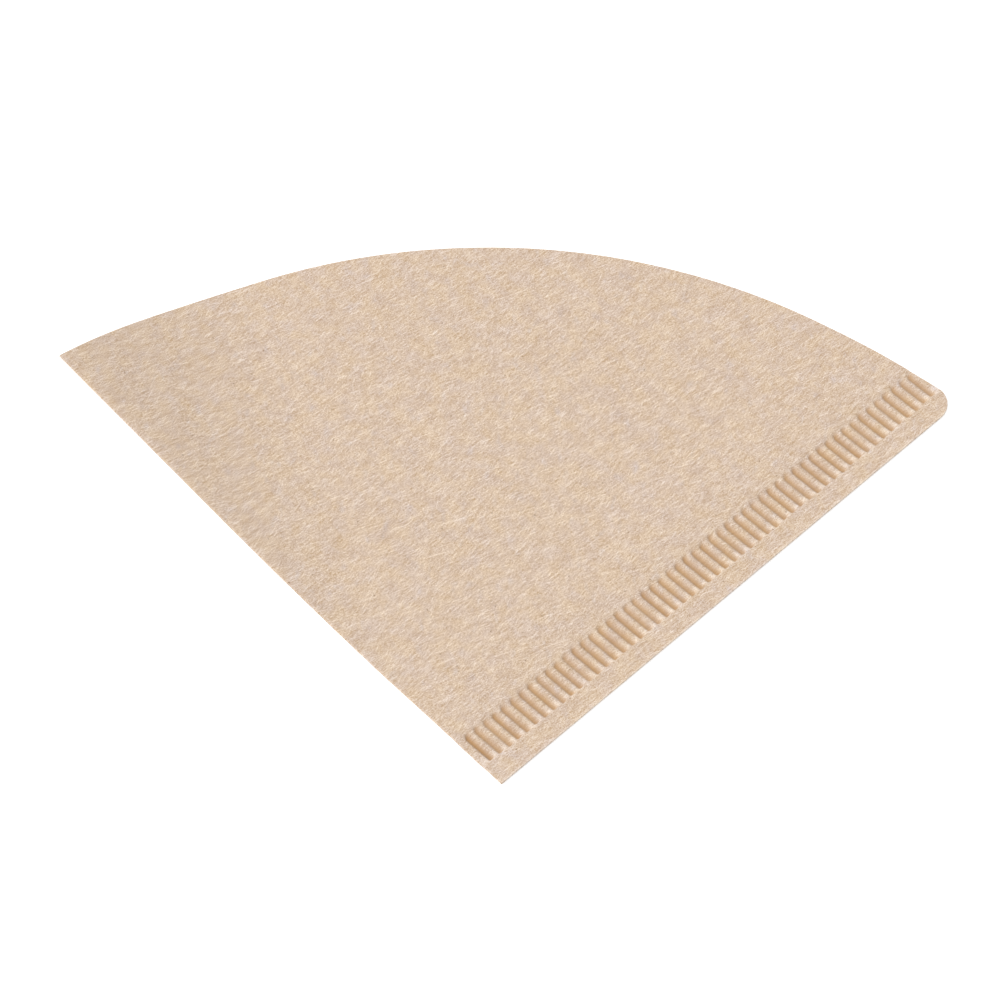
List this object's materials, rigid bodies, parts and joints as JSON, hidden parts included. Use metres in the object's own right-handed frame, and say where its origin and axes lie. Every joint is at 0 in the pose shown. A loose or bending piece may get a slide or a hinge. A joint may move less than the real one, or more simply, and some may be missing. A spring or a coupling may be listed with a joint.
{
  "type": "paper coffee filter",
  "caption": "Unbleached paper cone coffee filter, one sheet folded flat into two plies, with a folded side, a crimped and ribbed seam with a plain tab, and an arc-shaped open mouth.",
  "frame": {"origin": "on the table, below the middle of the bounding box", "axes": "+Z up off the table, +X along the crimped seam away from the bottom corner, +Y up beside the fold towards the mouth"},
  "size_m": [0.1192, 0.1212, 0.0077],
  "materials": {
    "unbleached_paper": "uncoated unbleached filter paper, matte and softly fibrous, darker and more orange in the pressed grooves"
  },
  "bodies": {
    "root": {"filter_paper": "unbleached_paper"}
  },
  "joints": []
}
